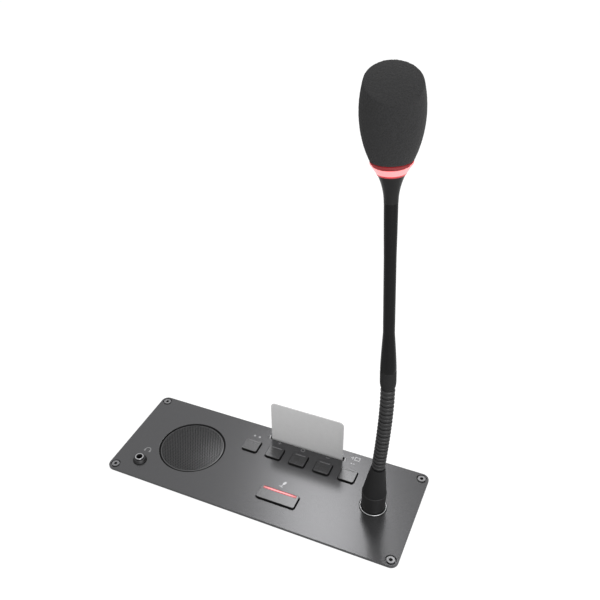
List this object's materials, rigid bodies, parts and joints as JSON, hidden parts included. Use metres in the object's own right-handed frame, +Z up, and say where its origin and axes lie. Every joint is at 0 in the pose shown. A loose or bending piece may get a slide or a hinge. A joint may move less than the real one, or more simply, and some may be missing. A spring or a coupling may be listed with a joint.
{
  "type": "conference delegate unit",
  "caption": "Flush table panel with a plug-in gooseneck microphone, loudspeaker grille, vote keys, microphone key, card reader with card and headphone jack",
  "frame": {"origin": "Centre of the top plate's underside, in the plane of the table top and midway between the four table screws", "axes": "+X to the user's right along the plate, +Y away from the user, +Z up out of the table"},
  "size_m": [0.21, 0.08, 0.3352],
  "materials": {
    "plate_grey": "fine grey anodised",
    "steel": "bright",
    "grille_grey": "fine grey coat",
    "gasket_foam": "matt",
    "basket_grey": "satin",
    "cone_black": "matt",
    "magnet_iron": "matt",
    "black_plastic": "matt",
    "bright_chrome": "polished",
    "contact_brass": "bright",
    "card_grey": "smooth",
    "board_green": "solder mask",
    "housing_black": "fine texture",
    "key_grey": "satin",
    "light_red": "frosted, lit from inside",
    "neck_black": "satin black coat",
    "boot_rubber": "matt",
    "sleeve_black": "satin",
    "capsule_alu": "bright",
    "foam_black": "open foam"
  },
  "bodies": {
    "panel": {"top_plate": "plate_grey", "plate_screws": "steel", "speaker_grille": "grille_grey", "speaker_gasket": "gasket_foam", "speaker_basket": "basket_grey", "speaker_cone": "cone_black", "speaker_magnet": "magnet_iron", "stud_nuts": "steel", "jack_nut": "black_plastic", "jack_bushing": "bright_chrome", "jack_body": "black_plastic", "card_reader": "black_plastic", "reader_contacts": "contact_brass", "main_board": "board_green", "board_spacers": "contact_brass", "board_screws": "steel", "switch_bodies": "black_plastic", "socket_ring": "bright_chrome", "socket_nut": "steel", "socket_insert": "black_plastic", "socket_contacts": "contact_brass", "rear_housing": "housing_black", "housing_pillars": "contact_brass", "housing_screws": "steel", "network_board": "board_green", "network_sockets": "steel", "network_screws": "steel"},
    "vote_key_1": {"vote_key_1": "key_grey"},
    "vote_key_2": {"vote_key_2": "key_grey"},
    "vote_key_3": {"vote_key_3": "key_grey"},
    "vote_key_4": {"vote_key_4": "key_grey"},
    "vote_key_5": {"vote_key_5": "key_grey"},
    "mic_key": {"mic_key": "key_grey", "mic_key_light": "light_red"},
    "card": {"id_card": "card_grey"},
    "mic_base": {"plug_core": "neck_black", "plug_pins": "contact_brass", "neck_boot": "boot_rubber"},
    "collar": {"lock_collar": "neck_black"},
    "link_01": {"neck_link_01": "neck_black"},
    "link_02": {"neck_link_02": "neck_black"},
    "link_03": {"neck_link_03": "neck_black"},
    "link_04": {"neck_link_04": "neck_black"},
    "link_05": {"neck_link_05": "neck_black"},
    "link_06": {"neck_link_06": "neck_black"},
    "link_07": {"neck_link_07": "neck_black"},
    "link_08": {"neck_link_08": "neck_black"},
    "link_09": {"neck_link_09": "neck_black"},
    "link_10": {"neck_link_10": "neck_black"},
    "link_11": {"neck_link_11": "neck_black"},
    "stem": {"stem_ferrule": "neck_black", "stem_sleeve": "sleeve_black", "stem_tube": "neck_black", "head_flare": "sleeve_black", "light_ring": "light_red", "mic_capsule": "capsule_alu"},
    "foam": {"windscreen": "foam_black"}
  },
  "joints": [
    {"name": "vote_key_1_press", "type": "slide", "parent": "panel", "child": "vote_key_1", "axis": [0, 0, -1], "range_m": [0, 0.001], "stiffness_N_per_m": 500, "springref_m": -0.002},
    {"name": "vote_key_2_press", "type": "slide", "parent": "panel", "child": "vote_key_2", "axis": [0, 0, -1], "range_m": [0, 0.001], "stiffness_N_per_m": 500, "springref_m": -0.002},
    {"name": "vote_key_3_press", "type": "slide", "parent": "panel", "child": "vote_key_3", "axis": [0, 0, -1], "range_m": [0, 0.001], "stiffness_N_per_m": 500, "springref_m": -0.002},
    {"name": "vote_key_4_press", "type": "slide", "parent": "panel", "child": "vote_key_4", "axis": [0, 0, -1], "range_m": [0, 0.001], "stiffness_N_per_m": 500, "springref_m": -0.002},
    {"name": "vote_key_5_press", "type": "slide", "parent": "panel", "child": "vote_key_5", "axis": [0, 0, -1], "range_m": [0, 0.001], "stiffness_N_per_m": 500, "springref_m": -0.002},
    {"name": "mic_key_press", "type": "slide", "parent": "panel", "child": "mic_key", "axis": [0, 0, -1], "range_m": [0, 0.001], "stiffness_N_per_m": 600, "springref_m": -0.002},
    {"name": "card_slide", "type": "slide", "parent": "panel", "child": "card", "axis": [0, 0, 1], "range_m": [0, 0.055]},
    {"name": "mic_unplug", "type": "slide", "parent": "panel", "child": "mic_base", "axis": [0, 0, 1], "range_m": [0, 0.03]},
    {"name": "collar_turn", "type": "hinge", "parent": "mic_base", "child": "collar", "pos_m": [0.0775, 0, 0], "axis": [0, 0, 1], "range_deg": [0, 360]},
    {"name": "neck_nod_1", "type": "hinge", "parent": "mic_base", "child": "link_01", "pos_m": [0.07863, 0, 0.03937], "axis": [0.9988, 0, -0.0497], "range_deg": [-8, 8]},
    {"name": "neck_sway_1", "type": "hinge", "parent": "link_01", "child": "link_02", "pos_m": [0.07892, 0.00005, 0.04516], "axis": [-0.0004, 1, -0.0087], "range_deg": [-8, 8]},
    {"name": "neck_nod_2", "type": "hinge", "parent": "link_02", "child": "link_03", "pos_m": [0.07919, 0.0001, 0.05096], "axis": [0.9989, 0, -0.0462], "range_deg": [-8, 8]},
    {"name": "neck_sway_2", "type": "hinge", "parent": "link_03", "child": "link_04", "pos_m": [0.07946, 0.0002, 0.05675], "axis": [-0.0008, 0.9998, -0.0174], "range_deg": [-8, 8]},
    {"name": "neck_nod_3", "type": "hinge", "parent": "link_04", "child": "link_05", "pos_m": [0.07967, 0.0003, 0.06255], "axis": [0.9994, 0.0002, -0.0358], "range_deg": [-8, 8]},
    {"name": "neck_sway_3", "type": "hinge", "parent": "link_05", "child": "link_06", "pos_m": [0.07987, 0.00046, 0.06834], "axis": [-0.0011, 0.9997, -0.0262], "range_deg": [-8, 8]},
    {"name": "neck_nod_4", "type": "hinge", "parent": "link_06", "child": "link_07", "pos_m": [0.07998, 0.00061, 0.07414], "axis": [0.9998, 0.0007, -0.0183], "range_deg": [-8, 8]},
    {"name": "neck_sway_4", "type": "hinge", "parent": "link_07", "child": "link_08", "pos_m": [0.08009, 0.00081, 0.07993], "axis": [-0.0013, 0.9994, -0.0349], "range_deg": [-8, 8]},
    {"name": "neck_nod_5", "type": "hinge", "parent": "link_08", "child": "link_09", "pos_m": [0.08005, 0.00101, 0.08573], "axis": [1, 0.0015, 0.0061], "range_deg": [-8, 8]},
    {"name": "neck_sway_5", "type": "hinge", "parent": "link_09", "child": "link_10", "pos_m": [0.08001, 0.00127, 0.09152], "axis": [-0.0013, 0.999, -0.0436], "range_deg": [-8, 8]},
    {"name": "neck_nod_6", "type": "hinge", "parent": "link_10", "child": "link_11", "pos_m": [0.0798, 0.00152, 0.09731], "axis": [0.9993, 0.0029, 0.0375], "range_deg": [-8, 8]},
    {"name": "neck_sway_6", "type": "hinge", "parent": "link_11", "child": "stem", "pos_m": [0.07958, 0.00182, 0.1031], "axis": [-0.0009, 0.9986, -0.0523], "range_deg": [-8, 8]},
    {"name": "windscreen_pull", "type": "slide", "parent": "stem", "child": "foam", "axis": [-0.0759, 0.0521, 0.9958], "range_m": [0, 0.04]}
  ],
  "couplings": [
    {"joint": "neck_nod_2", "follows": "neck_nod_1", "ratio": 1},
    {"joint": "neck_nod_3", "follows": "neck_nod_1", "ratio": 1},
    {"joint": "neck_nod_4", "follows": "neck_nod_1", "ratio": 1},
    {"joint": "neck_nod_5", "follows": "neck_nod_1", "ratio": 1},
    {"joint": "neck_nod_6", "follows": "neck_nod_1", "ratio": 1},
    {"joint": "neck_sway_2", "follows": "neck_sway_1", "ratio": 1},
    {"joint": "neck_sway_3", "follows": "neck_sway_1", "ratio": 1},
    {"joint": "neck_sway_4", "follows": "neck_sway_1", "ratio": 1},
    {"joint": "neck_sway_5", "follows": "neck_sway_1", "ratio": 1},
    {"joint": "neck_sway_6", "follows": "neck_sway_1", "ratio": 1}
  ]
}
